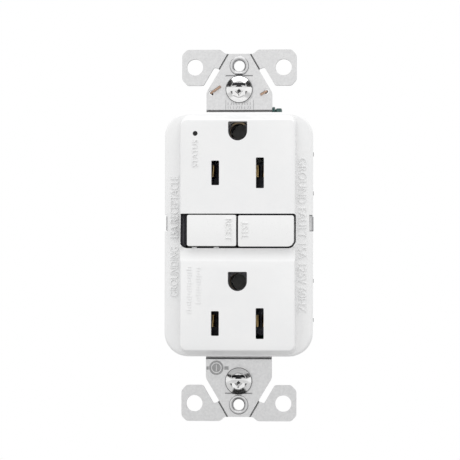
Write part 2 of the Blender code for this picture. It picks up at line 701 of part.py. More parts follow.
def side_screw(name, side, centre, head_x, tip_x, look, thread=1.95, head=3.9):
    """Screw along X with a domed head, a slot and a short cross slot."""
    profile = [(thread - 0.3, tip_x), (thread, tip_x + 0.3), (thread, head_x), (head, head_x),
               (head, head_x + 1.0), (head - 0.6, head_x + 1.7), (head - 1.4, head_x + 2.0)]
    body = turned([(r, side * x) for r, x in profile], centre, "X", 18)
    body = cut(body, *drive_recess(side * (head_x + 2.0), centre, "X", -side * 0.9, reach=4.5))
    return finish(name, body, look, (side * head_x, *centre))


def terminals():
    for line, end in (("load", 1), ("line", -1)):
        for pole, side, look in (("hot", -1, "brass"), ("neutral", 1, "nickel_steel")):
            name = f"{line}_{pole}"
            terminal_plate(f"{name}_terminal", side, end, look)
            clamp_plate(f"{name}_clamp", side, end, look)
            side_screw(f"{name}_screw", side, (TERMINAL_Y, end * TERMINAL_Z), 17.9, 13.4, look)


def ground_screw():
    """Green hexagon-washer screw, threaded into the bent tab of the strap."""
    y, z = GROUND_SCREW
    seat, end = GROUND_TAB_X[1] + 0.3, GROUND_TAB_X[1] + 3.05
    profile = [(1.5, 5.2), (1.75, 5.5), (1.75, seat), (4.5, seat), (4.5, seat + 0.8),
               (4.2, seat + 1.0)]
    washer = turned(profile, GROUND_SCREW, "X")
    hexagon = prism(arc(GROUND_SCREW, 4.1, 30, 330, 5), seat + 0.8, end, "X")
    body = cut(join(washer, hexagon), *drive_recess(end, GROUND_SCREW, "X", -0.9, reach=4.5))
    return finish("ground_screw", body, "green_screw", (seat, y, z))


# ---------------------------------------------------------------- case

def side_blocks():
    """Solid blocks beside the mechanism, in which the terminals sit."""
    return [block((side * BLOCK_X, side * 19.3), (CASE_Y + 4.5, CASE_BACK_Y - 0.5),
                  (end * 11.3, end * 26.7)) for side in (-1, 1) for end in (-1, 1)]


def terminal_cutters():
    """Recess, wire holes from the back, screw relief and web slot of each terminal."""
    tools = []
    for side in (-1, 1):
        for end in (-1, 1):
            z = end * TERMINAL_Z
            tools.append(block((side * RECESS_FLOOR_X, side * 23), RECESS_Y,
                               (end * RECESS_Z[0], end * RECESS_Z[1])))
            tools += [rod(1.65, 16.5, 28, (side * 15.9, z + dz), segments=16) for dz in (-3.7, 3.7)]
            low, high = sorted((side * 12, side * 15))
            tools.append(rod(2.3, low, high, (TERMINAL_Y, z), "X", 16))
            tools.append(block((side * 12, side * 15), (8.6, 9.9), (z - 1.9, z + 1.9)))
    return tools


def back_housing():
    """Rear shell with closed corners, terminal recesses and a pocket for the ground screw."""
    outer = (19.95, 34.2, 6.3)
    shell = loft([(rounded(*outer), CASE_Y), (rounded(*outer), CASE_BACK_Y - 1.2),
                  (rounded(*inset(outer, 1.0)), CASE_BACK_Y)])
    room = prism(rounded(*inset(outer, 1.4)), CASE_Y - 1, CASE_BACK_Y - 1.5)
    shell = cut(shell, room)
    columns = [rod(2.9, CASE_Y, CASE_BACK_Y - 0.6, centre, segments=20)
               for centre in CASE_SCREWS.values()]
    pocket_wall = block((3.5, 19.6), (CASE_Y, 12.2), (25.9, 33.6))
    shell = join(shell, *side_blocks(), *columns, pocket_wall)
    pocket = block((4.7, 23), (CASE_Y - 1, 11.0), (27.1, 37))
    bores = [rod(1.6, 0, 28, centre, segments=12) for centre in CASE_SCREWS.values()]
    sinks = [rod(2.75, CASE_BACK_Y - 2.2, 28, centre, segments=16)
             for centre in CASE_SCREWS.values()]
    leg_room = [block((sx * 19.4, sx * 22), (CASE_Y - 1, 8.4), (0.9, 5.8)) for sx in (-1, 1)]
    shell = cut(shell, pocket, *leg_room, *terminal_cutters(), *bores, *sinks)
    return finish("back_housing", shell, "grey_plastic")


def case_screw(where):
    """Long self-tapping screw from the back of the case into the cover's post."""
    profile = [(0.7, -1.6), (1.25, -0.9), (1.25, 24.6), (2.45, 24.6), (2.45, 25.6), (1.9, 26.1)]
    body = turned(profile, CASE_SCREWS[where], segments=12)
    recess = drive_recess(26.1, CASE_SCREWS[where], "Y", -0.8, width=0.7, reach=1.4)
    return finish(f"case_screw_{where}", cut(body, *recess), "zinc_steel")


# ---------------------------------------------------------------- assembly

def build():
    clear_scene()
    mounting_strap()
    auto_ground_clip()
    both_ends(mounting_screw)
    both_ends(screw_retainer)
    for which in OUTLETS:
        ground_contact(which)
    face_cover()
    front_insulator()
    reset_button()
    reset_pin()
    reset_spring()
    test_button()
    face_contact("face_contact_hot", -1)
    face_contact("face_contact_neutral", 1)
    middle_tray()
    for pole, side in (("hot", -1), ("neutral", 1)):
        contact_arm(f"contact_arm_{pole}", side)
        line_bar(f"line_bar_{pole}", side)
    contact_carriage()
    latch_plate()
    plunger()
    plunger_spring()
    coil_bobbin()
    coil_winding()
    solenoid_frame()
    core_ring("sense_transformer", 15.3, 18.2, "ferrite")
    core_ring("neutral_transformer", 18.6, 21.4, "enamel_wire")
    transformer_cup()
    circuit_board()
    surge_varistor()
    film_capacitor()
    control_chip()
    test_resistor()
    test_blade()
    status_led()
    light_pipe()
    terminals()
    ground_screw()
    back_housing()
    for where in CASE_SCREWS:
        case_screw(where)


build()
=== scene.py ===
"""Looks of the ground-fault receptacle: fine surfaces, lettering, finishes, studio and camera.

Lengths are in millimetres in the CAD's frame: X right, Z up, the face looks along -Y.
"""
import json
import math

import bmesh
import bpy
from mathutils import Matrix, Vector


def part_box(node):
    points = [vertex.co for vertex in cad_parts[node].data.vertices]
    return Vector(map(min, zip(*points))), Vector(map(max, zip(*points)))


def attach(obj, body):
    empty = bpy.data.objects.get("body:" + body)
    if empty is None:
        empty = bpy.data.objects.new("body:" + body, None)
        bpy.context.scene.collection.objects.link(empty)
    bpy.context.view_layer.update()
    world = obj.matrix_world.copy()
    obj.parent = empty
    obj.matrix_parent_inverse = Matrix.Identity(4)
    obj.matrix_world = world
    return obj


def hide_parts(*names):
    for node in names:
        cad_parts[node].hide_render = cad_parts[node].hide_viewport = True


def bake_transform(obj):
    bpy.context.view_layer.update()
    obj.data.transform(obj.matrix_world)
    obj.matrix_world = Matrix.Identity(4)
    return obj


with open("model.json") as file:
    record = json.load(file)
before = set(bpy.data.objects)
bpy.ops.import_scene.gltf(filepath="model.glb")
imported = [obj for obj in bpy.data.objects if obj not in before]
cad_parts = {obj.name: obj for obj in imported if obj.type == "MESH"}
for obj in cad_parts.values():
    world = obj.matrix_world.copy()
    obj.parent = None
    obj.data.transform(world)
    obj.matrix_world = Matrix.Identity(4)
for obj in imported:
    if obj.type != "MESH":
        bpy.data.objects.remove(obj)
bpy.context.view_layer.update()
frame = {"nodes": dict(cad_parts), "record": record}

MM = 0.001
NODES = frame["nodes"]


def extent(node):
    """Lowest and highest corner of a CAD node in millimetres."""
    low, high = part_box(node)
    return Vector(low) / MM, Vector(high) / MM


# ---------------------------------------------------------------- sizes

MOUNTS = {m["name"]: Vector(m["pos_m"]) / MM for m in frame["record"]["mounts"]}
COVER_HIGH = extent("face_cover")[1]
STRAP_LOW = extent("mounting_strap")[0]
RESET_LOW, RESET_HIGH = extent("reset_button")
TEST_LOW, TEST_HIGH = extent("test_button")
CASE_LOW, CASE_HIGH = extent("back_housing")

FLANGE_X, FLANGE_Z, FLANGE_R = COVER_HIGH.x, COVER_HIGH.z, 6.75
FLANGE_RISE = 0.2  # the flange sits this much higher than the CAD's
PAD_DROP = 0.2  # the pad's lower edge sits this much lower than the CAD's
RIM_Y = COVER_HIGH.y
PAD_Y = MOUNTS["plug_face_upper"].y
PAD_X, PAD_Z, PAD_R = 16.3, 32.8, 1.8
FLANGE_Y = PAD_Y + 4.0
WALL = 1.5
WELL_X = 16.4
WELL_Z = (-3.85, 5.95)
NOTCH_Z = (1.0, 5.7)
NOTCH_X, ARM_SLOT_X = 20.15, 19.2

BLADE_X = 12.7 / 2
OUTLET_Z = [MOUNTS["plug_face_upper"].z, MOUNTS["plug_face_lower"].z]
GROUND_UP = 11.9
GROUND_R = 2.72
HOT_SLOT = (1.12, 3.5)
NEUTRAL_SLOT = (1.15, 4.36)
LIGHT = tuple((extent("light_pipe")[0] + extent("light_pipe")[1]).xz / 2)
RESET_STEM = (-7.3, -0.9)
TEST_STEM = (8.0, -0.9)

STRAP_T = 1.2
BOX_SCREW_Z = 83.34 / 2
PLATE_SCREW_Z = MOUNTS["wall_plate_seat_top"].z
EAR_X, EAR_HOLE_Z, EAR_HOLE_R = 12.7, 48.05, 2.33
EMBLEM = (-6.4, -37.9)
STAMP_DEPTH = 0.06
WIRE_HOLES = ((-8.0, 40.7), (7.8, 41.1))

THREAD_PITCH = 0.794  # 32 threads to the inch
SPRING_WIRE = 0.2
TERMINAL_Y, TERMINAL_Z = 12.25, 19.0


# ---------------------------------------------------------------- mesh tools

def at(axis, level, a, b):
    """Point at a level along an axis, with its two other coordinates."""
    return {"X": (level, a, b), "Y": (a, level, b), "Z": (a, b, level)}[axis]


def to_object(mesh_data):
    bmesh.ops.recalc_face_normals(mesh_data, faces=mesh_data.faces)
    mesh = bpy.data.meshes.new("piece")
    mesh_data.to_mesh(mesh)
    mesh_data.free()
    mesh.transform(Matrix.Scale(MM, 4))
    obj = bpy.data.objects.new("piece", mesh)
    bpy.context.scene.collection.objects.link(obj)
    return obj


def skin(rings):
    """Closed mesh that bridges rings of points one to the next."""
    mesh_data = bmesh.new()
    rows = [[mesh_data.verts.new(point) for point in ring] for ring in rings]
    for lower, upper in zip(rows, rows[1:]):
        for i, corner in enumerate(lower):
            j = (i + 1) % len(lower)
            mesh_data.faces.new((corner, lower[j], upper[j], upper[i]))
    mesh_data.faces.new(rows[0])
    mesh_data.faces.new(rows[-1])
    return to_object(mesh_data)


def loft(sections, axis="Y"):
    return skin([[at(axis, level, a, b) for a, b in outline] for outline, level in sections])


def prism(outline, low, high, axis="Y"):
    return loft([(outline, low), (outline, high)], axis)


def block(x, y, z):
    (x0, x1), (y0, y1), (z0, z1) = sorted(x), sorted(y), sorted(z)
    return prism([(x0, z0), (x1, z0), (x1, z1), (x0, z1)], y0, y1)


def arc(centre, radius, start, end, steps):
    angles = [math.radians(start + (end - start) * i / steps) for i in range(steps + 1)]
    return [(centre[0] + radius * math.cos(t), centre[1] + radius * math.sin(t)) for t in angles]


def circle(radius, centre=(0, 0), segments=48):
    return arc(centre, radius, 0, 360, segments)[:-1]


def panel(a, b, radii, steps=8):
    """Rectangle over two (low, high) ranges; corner radii run anticlockwise from high, high."""
    signs = ((1, 1), (-1, 1), (-1, -1), (1, -1))
    points = []
    for turn, ((sign_a, sign_b), radius) in enumerate(zip(signs, radii)):
        centre = (a[sign_a > 0] - sign_a * radius, b[sign_b > 0] - sign_b * radius)
        points += arc(centre, radius, 90 * turn, 90 * turn + 90, steps)
    return points


def rounded(half_a, half_b, radius, steps=8):
    return panel((-half_a, half_a), (-half_b, half_b), [radius] * 4, steps)


def obround(centre, half_length, radius, steps=10):
    a, b = centre
    return (arc((a + half_length, b), radius, -90, 90, steps)
            + arc((a - half_length, b), radius, 90, 270, steps))


def eased(corners, radius, steps=4):
    """Polygon with each corner cut by a short curve, no longer than half its sides."""
    points = []
    for i, corner in enumerate(corners):
        here = Vector(corner)
        before, after = Vector(corners[i - 1]) - here, Vector(corners[(i + 1) % len(corners)]) - here
        reach = min(radius, before.length * 0.45, after.length * 0.45)
        start, end = here + before.normalized() * reach, here + after.normalized() * reach
        for step in range(steps + 1):
            t = step / steps
            points.append(tuple(start * (1 - t) ** 2 + here * 2 * t * (1 - t) + end * t ** 2))
    return points


def turned(profile, centre, axis="Y", segments=48):
    return loft([(circle(radius, centre, segments), level) for radius, level in profile], axis)


def rod(radius, low, high, centre, axis="Y", segments=48):
    return turned([(radius, low), (radius, high)], centre, axis, segments)


def edge_roll(radius, level, inward=1, steps=4):
    """(inset, level) pairs that round an edge, from the side wall to the face at a level."""
    turns = [math.radians(90 * i / steps) for i in range(steps + 1)]
    return [(radius * (1 - math.cos(t)), level + inward * radius * (1 - math.sin(t))) for t in turns]


def combine(target, tools, operation):
    """Apply a Boolean of the target with each tool, and drop the tools."""
    for tool in tools:
        step = target.modifiers.new("Boolean", "BOOLEAN")
        step.operation, step.solver, step.object = operation, "EXACT", tool
    graph = bpy.context.evaluated_depsgraph_get()
    mesh = bpy.data.meshes.new_from_object(target.evaluated_get(graph))
    target.modifiers.clear()
    target.data = mesh
    for tool in tools:
        bpy.data.objects.remove(tool, do_unlink=True)
    return target


def cut(target, *tools):
    return combine(target, tools, "DIFFERENCE")


def join(target, *tools):
    return combine(target, tools, "UNION")


def soften(obj, width, segments=2, angle=32):
    """Rounded edges, so that every corner catches a line of light."""
    bevel = obj.modifiers.new("Bevel", "BEVEL")
    bevel.width, bevel.segments = width * MM, segments
    bevel.limit_method, bevel.angle_limit = "ANGLE", math.radians(angle)
    bevel.harden_normals = True
    return obj


def piece(name, obj, body, look, replaces=()):
    """Name, paint and hang a piece on its body, if it has only one, in place of CAD nodes."""
    obj.name = obj.data.name = name
    obj.data.materials.clear()
    obj.data.materials.append(look)
    obj.data.shade_smooth()
    if not obj.modifiers:
        obj.data.set_sharp_from_angle(angle=math.radians(32))
    if body:
        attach(obj, body)
    if replaces:
        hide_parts(*replaces)
    return obj


def second_finish(obj, look, test):
    """Another finish, or painted shade, for the faces whose centre (in millimetres) and normal pass a test.
    """
    obj.data.materials.append(look)
    for face in obj.data.polygons:
        if test(face.center / MM, face.normal):
            face.material_index = len(obj.data.materials) - 1
    return obj


# ---------------------------------------------------------------- finishes

class Finish:
    """A procedural material: Principled shader with noise-driven colour, gloss and relief."""

    def __init__(self, name, colour, roughness, metallic=0.0):
        self.material = bpy.data.materials.new(name)
        self.material.use_nodes = True
        self.tree = self.material.node_tree
        self.shader = self.tree.nodes["Principled BSDF"]
        self.colour = (*colour, 1.0)
        self.shader.inputs["Base Color"].default_value = self.colour
        self.shader.inputs["Roughness"].default_value = roughness
        self.shader.inputs["Metallic"].default_value = metallic
        self.material.diffuse_color = self.colour
        self.place = self.node("ShaderNodeTexCoord").outputs["Object"]

    def node(self, kind, **values):
        made = self.tree.nodes.new(kind)
        for key, value in values.items():
            if hasattr(made, key):
                setattr(made, key, value)
            else:
                made.inputs[key.replace("_", " ")].default_value = value
        return made

    def link(self, start, end):
        self.tree.links.new(start, end)

    def noise(self, scale, detail=4.0, stretch=(1, 1, 1), roughness=0.55):
        mapping = self.node("ShaderNodeMapping", Scale=stretch)
        self.link(self.place, mapping.inputs["Vector"])
        noise = self.node("ShaderNodeTexNoise", Scale=scale, Detail=detail, Roughness=roughness)
        self.link(mapping.outputs["Vector"], noise.inputs["Vector"])
        return noise.outputs["Fac"]

    def tint(self, other, scale, low=0.35, high=0.65, **noise):
        """Drift between the base colour and another."""
        ramp = self.node("ShaderNodeMapRange", From_Min=low, From_Max=high)
        self.link(self.noise(scale, **noise), ramp.inputs["Value"])
        mix = self.node("ShaderNodeMix", data_type="RGBA")
        mix.inputs[6].default_value = self.colour
        mix.inputs[7].default_value = (*other, 1.0)
        self.link(ramp.outputs["Result"], mix.inputs[0])
        self.link(mix.outputs[2], self.shader.inputs["Base Color"])
        return self

    def shade(self, amount, low, high):
        """Paint shade: darken what is already linked to the base colour where a factor rises from low to
        high.
        """
        ramp = self.node("ShaderNodeMapRange", From_Min=low, From_Max=high)
        mix = self.node("ShaderNodeMix", data_type="RGBA", blend_type="MULTIPLY")
        mix.inputs[7].default_value = (*amount, 1.0)
        self.link(self.shader.inputs["Base Color"].links[0].from_socket, mix.inputs[6])
        self.link(ramp.outputs["Result"], mix.inputs[0])
        self.link(mix.outputs[2], self.shader.inputs["Base Color"])
        return ramp.inputs["Value"]

    def painted_edge_shade(self, amount):
        """Painted shade: darken faces that look neither along Y nor upwards, so that down-facing sheared and
        stamped edges, grooves and slopes read as in shade.
        """
        split = self.node("ShaderNodeSeparateXYZ")
        self.link(self.node("ShaderNodeNewGeometry").outputs["True Normal"], split.inputs["Vector"])
        front = self.node("ShaderNodeMath", operation="ABSOLUTE")
        self.link(split.outputs["Y"], front.inputs[0])
        upward = self.node("ShaderNodeMath", operation="MULTIPLY")
        upward.inputs[1].default_value = 1.3
        self.link(split.outputs["Z"], upward.inputs[0])
        facing = self.node("ShaderNodeMath", operation="MAXIMUM")
        self.link(front.outputs["Value"], facing.inputs[0])
        self.link(upward.outputs["Value"], facing.inputs[1])
        self.link(facing.outputs["Value"], self.shade(amount, 0.97, 0.6))
        return self

    def painted_depth_shade(self, amount, near, far):
        """Painted shade: darken with depth behind the face, between two levels."""
        split = self.node("ShaderNodeSeparateXYZ")
        self.link(self.place, split.inputs["Vector"])
        self.link(split.outputs["Y"], self.shade(amount, near * MM, far * MM))
        return self

    def gloss(self, low, high, scale, **noise):
        ramp = self.node("ShaderNodeMapRange", From_Min=0.3, From_Max=0.7, To_Min=low, To_Max=high)
        self.link(self.noise(scale, **noise), ramp.inputs["Value"])
        self.link(ramp.outputs["Result"], self.shader.inputs["Roughness"])
        return self

    def relief(self, scale, depth, strength=0.5, **noise):
        bump = self.node("ShaderNodeBump", Strength=strength, Distance=depth * MM)
        self.link(self.noise(scale, **noise), bump.inputs["Height"])
        self.link(bump.outputs["Normal"], self.shader.inputs["Normal"])
        return self

    def set(self, **values):
        for key, value in values.items():
            self.shader.inputs[key.replace("_", " ")].default_value = value
        return self


def make_finishes():
    looks = {
        "white_plastic": Finish("white_plastic", (0.86, 0.86, 0.86), 0.34)
        .tint((0.845, 0.847, 0.85), 180).gloss(0.28, 0.4, 900).relief(2600, 0.012, 0.35),
        "button_plastic": Finish("button_plastic", (0.875, 0.875, 0.873), 0.3)
        .tint((0.865, 0.865, 0.865), 240).gloss(0.26, 0.33, 900).relief(3000, 0.003, 0.2),
        "black_plastic": Finish("black_plastic", (0.032, 0.031, 0.036), 0.5)
        .tint((0.035, 0.034, 0.04), 500).gloss(0.42, 0.6, 1200).relief(3500, 0.015, 0.4),
        "grey_plastic": Finish("grey_plastic", (0.045, 0.046, 0.05), 0.5)
        .tint((0.053, 0.054, 0.058), 900).gloss(0.42, 0.6, 1400).relief(3200, 0.02, 0.5),
        "natural_plastic": Finish("natural_plastic", (0.84, 0.83, 0.8), 0.5)
        .tint((0.77, 0.76, 0.72), 260).relief(2500, 0.015),
        # zinc with painted shade on edges, grooves and slopes that face neither the front nor upwards
        "zinc_steel": Finish("zinc_steel", (0.79, 0.79, 0.79), 0.4, 1.0)
        .tint((0.7, 0.7, 0.705), 1500, detail=6, roughness=0.7).gloss(0.34, 0.52, 900)
        .relief(1800, 0.02, 0.5).painted_edge_shade((0.4, 0.4, 0.41)),
        "nickel_steel": Finish("nickel_steel", (0.9, 0.9, 0.895), 0.15, 1.0)
        .tint((0.82, 0.82, 0.82), 600).gloss(0.09, 0.2, 1500).relief(3200, 0.004, 0.25),
        "stamped_zinc": Finish("stamped_zinc", (0.5, 0.5, 0.5), 0.6, 1.0)
        .tint((0.36, 0.36, 0.365), 1800, detail=6).relief(1500, 0.03, 0.6),
        "brass": Finish("brass", (0.74, 0.53, 0.26), 0.3, 1.0)
        .tint((0.63, 0.43, 0.19), 500).gloss(0.24, 0.42, 900).relief(2600, 0.01, 0.4),
        # brass contacts with painted shade that deepens behind the face, where they sit in the slots
        "contact_brass": Finish("contact_brass", (0.72, 0.54, 0.27), 0.32, 1.0)
        .tint((0.6, 0.43, 0.2), 700).gloss(0.26, 0.44, 900).painted_depth_shade((0.13, 0.18, 0.42), -2.7, -1.8),
        # near-black nickel that stands for painted shade in the screw heads' recesses and on their rim
        "painted_shade_nickel": Finish("painted_shade_nickel", (0.07, 0.07, 0.074), 0.35, 1.0)
        .tint((0.04, 0.04, 0.042), 900).relief(3200, 0.006, 0.35),
        "copper": Finish("copper", (0.77, 0.42, 0.26), 0.3, 1.0)
        .tint((0.62, 0.31, 0.19), 500).gloss(0.24, 0.44, 900).relief(2600, 0.01, 0.4),
        "bronze_wire": Finish("bronze_wire", (0.66, 0.47, 0.35), 0.26, 1.0)
        .tint((0.36, 0.23, 0.17), 900).gloss(0.22, 0.42, 1500).relief(3000, 0.01, 0.4),
        # dark bronze that stands for painted shade on the grounding wire
        "bronze_painted_shade": Finish("bronze_painted_shade", (0.14, 0.085, 0.06), 0.45, 1.0)
        .tint((0.08, 0.05, 0.04), 1200).gloss(0.35, 0.55, 1500).relief(3000, 0.01, 0.4),
        "green_screw": Finish("green_screw", (0.007, 0.08, 0.07), 0.3, 0.55)
        .tint((0.004, 0.045, 0.04), 900).gloss(0.22, 0.45, 1500).relief(2600, 0.012, 0.4),
        "fibre": Finish("fibre", (0.5, 0.33, 0.2), 0.8)
        .tint((0.36, 0.23, 0.13), 900, stretch=(1, 1, 4)).relief(2500, 0.05, 0.7, stretch=(1, 1, 5)),
        "board_green": Finish("board_green", (0.02, 0.16, 0.06), 0.35)
        .tint((0.03, 0.22, 0.09), 700).relief(3500, 0.01),
        "enamel_wire": Finish("enamel_wire", (0.6, 0.2, 0.07), 0.3, 0.85)
        .tint((0.42, 0.13, 0.05), 900).gloss(0.2, 0.42, 1200),
        "ferrite": Finish("ferrite", (0.06, 0.06, 0.065), 0.6, 0.2)
        .tint((0.1, 0.1, 0.105), 900).relief(2500, 0.03, 0.6),
        "blue_varistor": Finish("blue_varistor", (0.05, 0.12, 0.42), 0.4)
        .tint((0.07, 0.16, 0.5), 300).relief(1500, 0.04, 0.5),
        "yellow_film": Finish("yellow_film", (0.68, 0.46, 0.06), 0.4)
        .tint((0.6, 0.4, 0.05), 300).relief(1500, 0.02, 0.4),
        "led_lens": Finish("led_lens", (0.2, 0.65, 0.25), 0.12).tint((0.16, 0.58, 0.2), 600),
        "clear_plastic": Finish("clear_plastic", (0.008, 0.009, 0.009), 0.2)
        .tint((0.012, 0.013, 0.013), 400).set(Transmission_Weight=0.3, Specular_IOR_Level=0.25),
    }
    return {name: finish.material for name, finish in looks.items()}


LOOKS = make_finishes()


# ---------------------------------------------------------------- cover

def blade_cutters(low, high, grow=0.0, pins=True):
    """Cutters for the blade slots and, if asked for, the grounding holes with their flat top."""
    slot_corner, hole_corner = 0.28, 0.3
    tools = []
    for z in OUTLET_Z:
        for x, (half_x, half_z) in ((-BLADE_X, HOT_SLOT), (BLADE_X, NEUTRAL_SLOT)):
            outline = panel((x - half_x - grow, x + half_x + grow),
                            (z - half_z - grow, z + half_z + grow), [slot_corner] * 4, 4)
            tools.append(prism(outline, low, high))
        if not pins:
            continue
        middle, radius = z + GROUND_UP, GROUND_R + grow
        reach = radius - hole_corner
        hole = arc((0, middle), radius, 180, 360, 28)
        hole += arc((reach, middle + reach), hole_corner, 0, 90, 4)
        hole += arc((-reach, middle + reach), hole_corner, 90, 180, 4)
        tools.append(prism(hole, low, high))
    return tools


def cover_shell():
    """Flange with a rolled front edge, and the pad with its sloping ends."""
    def outline(inset):
        return panel((inset - FLANGE_X, FLANGE_X - inset),
                     (FLANGE_RISE + inset - FLANGE_Z, FLANGE_RISE + FLANGE_Z - inset),
                     [FLANGE_R - inset] * 4)

    flange = [(outline(0), RIM_Y)]
    for inset, level in edge_roll(0.8, FLANGE_Y):
        flange.append((outline(inset), level))
    pad = [(rounded(PAD_X + 0.12, PAD_Z + 1.35, PAD_R + 0.6), FLANGE_Y + 0.2)]
    for inset, level in edge_roll(0.45, PAD_Y):
        pad.append((panel((inset - PAD_X, PAD_X - inset), (inset - PAD_Z - PAD_DROP, PAD_Z - inset),
                          [PAD_R - inset] * 4), level))
    return join(loft(flange), loft(pad))


def face_cover():
    """Hollow cover with the key well, the scoop below it, notches, slots, holes and screw posts."""
    cover = cover_shell()
    room = prism(rounded(FLANGE_X - WALL, FLANGE_Z - WALL, FLANGE_R - WALL), FLANGE_Y + WALL, RIM_Y + 1)
    pad_room = prism(rounded(PAD_X - 1.4, PAD_Z - 1.3, 1.0), PAD_Y + 1.8, FLANGE_Y + 1.6)
    cover = cut(cover, room, pad_room)
    well = prism(panel((-WELL_X, WELL_X), WELL_Z, (0.5, 0.5, 2.0, 2.0)), PAD_Y - 1, FLANGE_Y + 1.6)
    scoop = ((0.85, -3.4), (0.82, -4.3), (0.7, -5.3), (0.54, -6.1), (0.35, -6.8), (0.15, -7.4),
             (-0.01, -7.8))
    dip = prism([(PAD_Y - 0.5, scoop[0][1]), *((PAD_Y + depth, z) for depth, z in scoop),
                 (PAD_Y - 0.5, scoop[-1][1])], -18, 18, "X")
    steps = ((NOTCH_X, (FLANGE_Y - 1, RIM_Y + 1)), (ARM_SLOT_X, (-STRAP_T - 0.3, RIM_Y + 1.5)))
    notches = [block((side * low, side * 22), levels, NOTCH_Z) for side in (-1, 1)
               for low, levels in steps]
    exits = [block((-9.75, 9.75), (-STRAP_T - 0.35, RIM_Y + 1), (end * 32.5, end * 36))
             for end in (-1, 1)]
    lamp = rod(0.7, PAD_Y - 1, PAD_Y + 3, LIGHT, segments=32)
    cover = cut(cover, well, dip, *notches, *exits, lamp, *blade_cutters(PAD_Y - 1, RIM_Y))
    posts = [rod(2.2, FLANGE_Y + 1.4, RIM_Y, centre, segments=24) for centre in case_screw_places()]
    bores = [rod(1.6, FLANGE_Y + 1.9, RIM_Y + 1, centre, segments=20)
             for centre in case_screw_places()]
    nubs = [block((x - half, x + half), (PAD_Y + 1.5, PAD_Y + 3.4), (WELL_Z[0] - 0.4, WELL_Z[0] + 0.4))
            for x, half in ((-12.35, 0.66), (-6.1, 0.75))]
    cover = cut(join(cover, *posts, *nubs), *bores)
    return piece("cover", soften(cover, 0.1), "device_body", LOOKS["white_plastic"],
                 ["face_cover"])


def case_screw_places():
    """Centres of the four case screws, from their CAD nodes."""
    names = [name for name in NODES if name.startswith("case_screw_")]
    return [tuple(((extent(name)[0] + extent(name)[1]) / 2).xz) for name in sorted(names)]


def well_wall():
    """Scooped wall at the left end of the key well, leaning back towards its top."""
    low, height, steps = -3.4, 9.15, 12
    left, right, corner_r, corner_z = -16.25, -14.7, 1.7, -1.9
    front, back, hollow, lean = -7.5, -1.6, 0.9, 1.1
    sections = []
    for i in range(steps + 1):
        z = low + height * i / steps
        edge = left + corner_r - math.sqrt(corner_r ** 2 - max(corner_z - z, 0) ** 2)
        level = front + lean * (i / steps) ** 2
        face = [(edge + (right - edge) * t, level + hollow * 4 * t * (1 - t))
                for t in (0, 0.15, 0.35, 0.6, 0.85, 1)]
        sections.append(([(right, back), (edge, back)] + face, z))
    return loft(sections, "Z")


def front_insulator():
    """Dark plate behind the pad, with a box around the key well and the well's floor."""
    half_x, half_z, front, back = 14.6, 31.2, -5.9, -4.4
    through = (-7, -3)
    plate = prism(rounded(half_x, half_z, 0.8), front, back)
    well_box = block((-half_x, half_x), (front, -1.7), (-4.65, 6.75))
    well_room = block((-16, 16), (-9, -2.3), (-4.1, 6.2))
    well_floor = block((-17.4, 17.4), (-2.2, -1.5), (-5.6, 6.5))
    lamp = rod(1.1, *through, LIGHT, segments=24)
    pins = [rod(2.42, *through, (0, z + GROUND_UP)) for z in OUTLET_Z]
    plate = cut(join(plate, well_box), well_room, lamp, *pins,
                *blade_cutters(*through, grow=0.15, pins=False))
    plate = join(plate, well_floor, well_wall())
    stems = [rod(radius, -5, 0, centre, segments=24)
             for radius, centre in ((1.3, RESET_STEM), (1.75, TEST_STEM))]
    return piece("insulator", soften(cut(plate, *stems), 0.08), "device_body",
                 LOOKS["black_plastic"], ["front_insulator"])


# ---------------------------------------------------------------- keys and lettering

READ_UP = Matrix(((0, -1, 0), (0, 0, -1), (1, 0, 0)))
READ_DOWN = Matrix(((0, 1, 0), (0, 0, -1), (-1, 0, 0)))
KEY_RELIEF, COVER_RELIEF = 0.32, 0.3


def raised_text(words, height, length, centre, level, turn, raise_by):
    """Raised capitals of a given height and overall length, centred on (x, z) at a level."""
    curve = bpy.data.curves.new("text", "FONT")
    curve.body, curve.align_x, curve.align_y = words, "CENTER", "CENTER"
    curve.extrude, curve.bevel_depth, curve.bevel_resolution = 0.05, 0.01, 1
    curve.offset = -0.018
    curve.resolution_u = 4
    obj = bpy.data.objects.new("text", curve)
    bpy.context.scene.collection.objects.link(obj)
    mesh = bpy.data.meshes.new_from_object(obj.evaluated_get(bpy.context.evaluated_depsgraph_get()))
    bpy.data.objects.remove(obj, do_unlink=True)
    points = [v.co for v in mesh.vertices]
    low = [min(p[i] for p in points) for i in range(3)]
    high = [max(p[i] for p in points) for i in range(3)]
    middle = Vector([(a + b) / 2 for a, b in zip(low, high)])
    scale = Matrix.Diagonal((length / (high[0] - low[0]), height / (high[1] - low[1]),
                             2 * raise_by / (high[2] - low[2])))
    for vertex in mesh.vertices:
        local = turn @ (scale @ (vertex.co - middle))
        vertex.co = (Vector((centre[0], level, centre[1])) + local) * MM
    made = bpy.data.objects.new("text", mesh)
    bpy.context.scene.collection.objects.link(made)
    return made


def key_cap(low, high, radii):
    """Hollow key with a rolled front edge and a slightly crowned face."""
    def outline(inset):
        return panel((low.x + inset, high.x - inset), (low.z + inset, high.z - inset),
                     [max(radius - inset, 0.12) for radius in radii])

    crown = 0.22
    middle, half = (low.z + high.z) / 2, (high.z - low.z) / 2
    face = [(low.y + crown * (i / 6) ** 2, middle + half * 1.1 * i / 6) for i in range(-6, 7)]
    body = prism([(FLANGE_Y, face[0][1]), *face, (FLANGE_Y, face[-1][1])], low.x - 1, high.x + 1, "X")
    body = combine(body, [prism(outline(0), low.y - 1, FLANGE_Y + 1)], "INTERSECT")
    return cut(body, prism(outline(0.75), low.y + 1.3, FLANGE_Y + 1))


